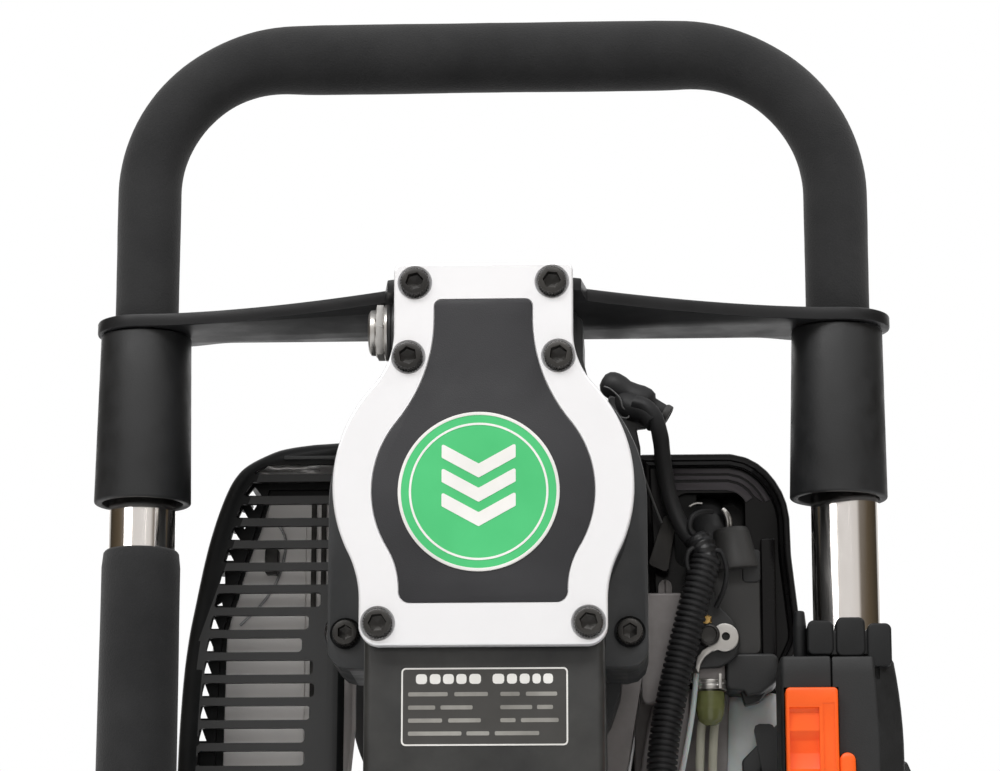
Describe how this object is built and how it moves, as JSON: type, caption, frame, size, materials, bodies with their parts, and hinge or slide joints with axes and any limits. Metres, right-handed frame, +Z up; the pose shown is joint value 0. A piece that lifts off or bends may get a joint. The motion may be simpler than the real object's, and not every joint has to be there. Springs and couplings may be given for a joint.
{
  "type": "post driver",
  "caption": "Petrol post driver: engine and gearbox on a hammer barrel with a drive cup, hung in a floating two-handed tube frame.",
  "frame": {"origin": "centre of the anvil's strike face inside the drive cup, on the hammer axis", "axes": "+Z up along the hammer axis, +Y towards the engine, +X to the right as seen from the front cover"},
  "size_m": [0.317, 0.2563, 0.7522],
  "materials": {
    "foam_black": "closed-cell foam, matte",
    "black_steel": "black powder coat, satin",
    "rubber_black": "matte black rubber",
    "stainless": "polished stainless tube",
    "aluminium": "bright brushed plate",
    "black_alloy": "black painted casting",
    "panel_plastic": "fine black texture",
    "black_plastic": "moulded, semi-gloss",
    "gloss_plastic": "moulded, glossy",
    "grey_cast": "raw die casting",
    "steel": "machined",
    "spring_steel": "zinc plated",
    "black_oxide": "black oxide",
    "orange": "moulded orange",
    "tank": "translucent white",
    "bulb": "clear yellow-green",
    "exhaust": "aluminised sheet"
  },
  "bodies": {
    "machine": {"drive_cup": "black_steel", "anvil_buffer": "rubber_black", "cylinder_barrel": "black_steel", "front_cover": "aluminium", "cover_panel": "panel_plastic", "gearbox_front": "black_alloy", "gearbox_rear": "black_alloy", "oil_plug": "stainless", "upper_bracket": "black_steel", "lower_bracket": "black_steel", "sleeve_left": "rubber_black", "sleeve_right": "rubber_black", "spring_upper_left": "spring_steel", "spring_upper_right": "spring_steel", "spring_lower_left": "spring_steel", "spring_lower_right": "spring_steel", "engine_crankcase": "grey_cast", "cylinder_shroud": "black_plastic", "recoil_housing": "black_plastic", "starter_rope": "rubber_black", "fuel_tank": "tank", "muffler": "exhaust", "muffler_guard": "black_plastic", "air_cleaner_case": "gloss_plastic", "air_cleaner_cover": "gloss_plastic", "carburettor": "grey_cast", "spark_plug_boot": "rubber_black", "ht_lead": "rubber_black", "conduit": "rubber_black", "cover_screw_1": "black_oxide", "cover_screw_2": "black_oxide", "cover_screw_3": "black_oxide", "cover_screw_4": "black_oxide", "cover_screw_5": "black_oxide", "cover_screw_6": "black_oxide"},
    "handle_frame": {"handle_tube": "stainless", "handle_foam": "foam_black", "side_tube_left": "stainless", "side_tube_right": "stainless", "grip_foam": "foam_black", "throttle_case_outer": "black_plastic", "throttle_case_inner": "black_plastic", "throttle_clamp": "black_plastic"},
    "trigger": {"throttle_trigger": "black_plastic"},
    "lockout": {"lockout_lever": "black_plastic"},
    "switch": {"stop_switch": "orange"},
    "button": {"lock_button": "orange"},
    "crank": {"crank_gear": "steel"},
    "rod": {"connecting_rod": "steel"},
    "drum": {"clutch_drum": "steel"},
    "engine_shaft": {"flywheel": "grey_cast"},
    "piston_body": {"piston": "grey_cast"},
    "striker_body": {"striker": "steel"},
    "anvil_body": {"anvil": "steel"},
    "choke": {"choke_lever": "black_plastic"},
    "carb_arm": {"throttle_arm": "steel"},
    "cap": {"fuel_cap": "black_plastic"},
    "pull_grip": {"starter_grip": "black_plastic"},
    "pulley": {"starter_pulley": "black_plastic"},
    "primer": {"primer_bulb": "bulb"}
  },
  "joints": [
    {"name": "handle_float", "type": "slide", "parent": "machine", "child": "handle_frame", "axis": [0, 0, 1], "range_m": [-0.01, 0.01], "stiffness_N_per_m": 20000, "springref_m": 0.00095, "deforming": ["spring_upper_left", "spring_upper_right", "spring_lower_left", "spring_lower_right", "conduit"]},
    {"name": "throttle_trigger_squeeze", "type": "hinge", "parent": "handle_frame", "child": "trigger", "pos_m": [0.1125, 0.026, 0.341], "axis": [0, -1, 0], "range_deg": [0, 12], "stiffness_Nm_per_rad": 0.6},
    {"name": "lockout_press", "type": "hinge", "parent": "handle_frame", "child": "lockout", "pos_m": [0.1535, 0.026, 0.352], "axis": [0, 1, 0], "range_deg": [0, 8], "stiffness_Nm_per_rad": 0.4},
    {"name": "stop_switch_slide", "type": "slide", "parent": "handle_frame", "child": "switch", "axis": [0, 0, 1], "range_m": [-0.005, 0]},
    {"name": "lock_button_press", "type": "slide", "parent": "handle_frame", "child": "button", "axis": [0, 1, 0], "range_m": [0, 0.003], "stiffness_N_per_m": 300},
    {"name": "crank_gear_spin", "type": "hinge", "parent": "machine", "child": "crank", "pos_m": [0, 0.014, 0.447], "axis": [0, 1, 0], "continuous": true},
    {"name": "connecting_rod_swing", "type": "hinge", "parent": "crank", "child": "rod", "pos_m": [0, 0, 0.436], "axis": [0, 1, 0], "continuous": true},
    {"name": "clutch_drum_spin", "type": "hinge", "parent": "machine", "child": "drum", "pos_m": [0, 0.014, 0.39675], "axis": [0, 1, 0], "continuous": true},
    {"name": "engine_shaft_spin", "type": "hinge", "parent": "machine", "child": "engine_shaft", "pos_m": [0, 0.086, 0.39675], "axis": [0, 1, 0], "continuous": true},
    {"name": "piston_stroke", "type": "slide", "parent": "machine", "child": "piston_body", "axis": [0, 0, 1], "range_m": [0, 0.022]},
    {"name": "striker_travel", "type": "slide", "parent": "machine", "child": "striker_body", "axis": [0, 0, 1], "range_m": [-0.007, 0.043]},
    {"name": "anvil_travel", "type": "slide", "parent": "machine", "child": "anvil_body", "axis": [0, 0, 1], "range_m": [0, 0.007]},
    {"name": "choke_turn", "type": "hinge", "parent": "machine", "child": "choke", "pos_m": [0.105, 0.086, 0.374], "axis": [0, -1, 0], "range_deg": [0, 40]},
    {"name": "carburettor_throttle", "type": "hinge", "parent": "machine", "child": "carb_arm", "pos_m": [0.065, 0.071, 0.441], "axis": [0, 1, 0], "range_deg": [0, 60]},
    {"name": "fuel_cap_turn", "type": "hinge", "parent": "machine", "child": "cap", "pos_m": [-0.058, 0.148, 0.304], "axis": [-1, 0, 0], "range_deg": [0, 180]},
    {"name": "starter_pull", "type": "slide", "parent": "machine", "child": "pull_grip", "axis": [0, 0, 1], "range_m": [0, 0.5], "stiffness_N_per_m": 20, "springref_m": -0.2, "deforming": ["starter_rope"]},
    {"name": "starter_pulley_spin", "type": "hinge", "parent": "machine", "child": "pulley", "pos_m": [0, 0.18, 0.39675], "axis": [0, 1, 0], "range_deg": [-1250, 0]},
    {"name": "primer_press", "type": "slide", "parent": "machine", "child": "primer", "axis": [0, 0, 1], "range_m": [0, 0.004], "stiffness_N_per_m": 300}
  ],
  "couplings": [
    {"joint": "connecting_rod_swing", "follows": "crank_gear_spin", "ratio": -1},
    {"joint": "clutch_drum_spin", "follows": "crank_gear_spin", "ratio": -5.0909},
    {"joint": "engine_shaft_spin", "follows": "crank_gear_spin", "ratio": -5.0909},
    {"joint": "carburettor_throttle", "follows": "throttle_trigger_squeeze", "ratio": 5},
    {"joint": "starter_pulley_spin", "follows": "starter_pull", "rad_per_m": -41.667}
  ]
}
